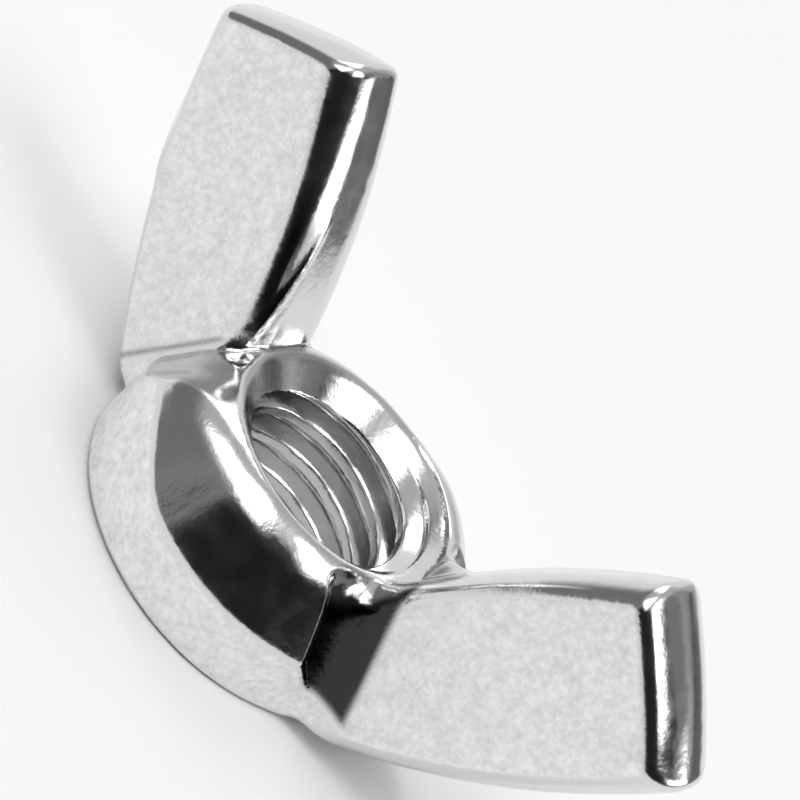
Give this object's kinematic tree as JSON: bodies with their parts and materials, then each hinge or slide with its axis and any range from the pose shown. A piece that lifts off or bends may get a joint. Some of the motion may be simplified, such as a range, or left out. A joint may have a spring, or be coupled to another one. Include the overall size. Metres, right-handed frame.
{
  "type": "wing nut",
  "caption": "Cold-forged wing nut: a round domed hub with a tapped through hole and two upswept wings for turning by hand.",
  "frame": {"origin": "where the thread's axis meets the flat bearing face under the hub", "axes": "+Z along the thread's axis, from the bearing face towards the wings; the wings point along +X and -X; the wings' flat faces look along +Y and -Y"},
  "size_m": [0.0358, 0.016, 0.0168],
  "materials": {
    "zinc_plated_steel": "satin"
  },
  "bodies": {
    "root": {"wing_nut": "zinc_plated_steel"}
  },
  "joints": []
}
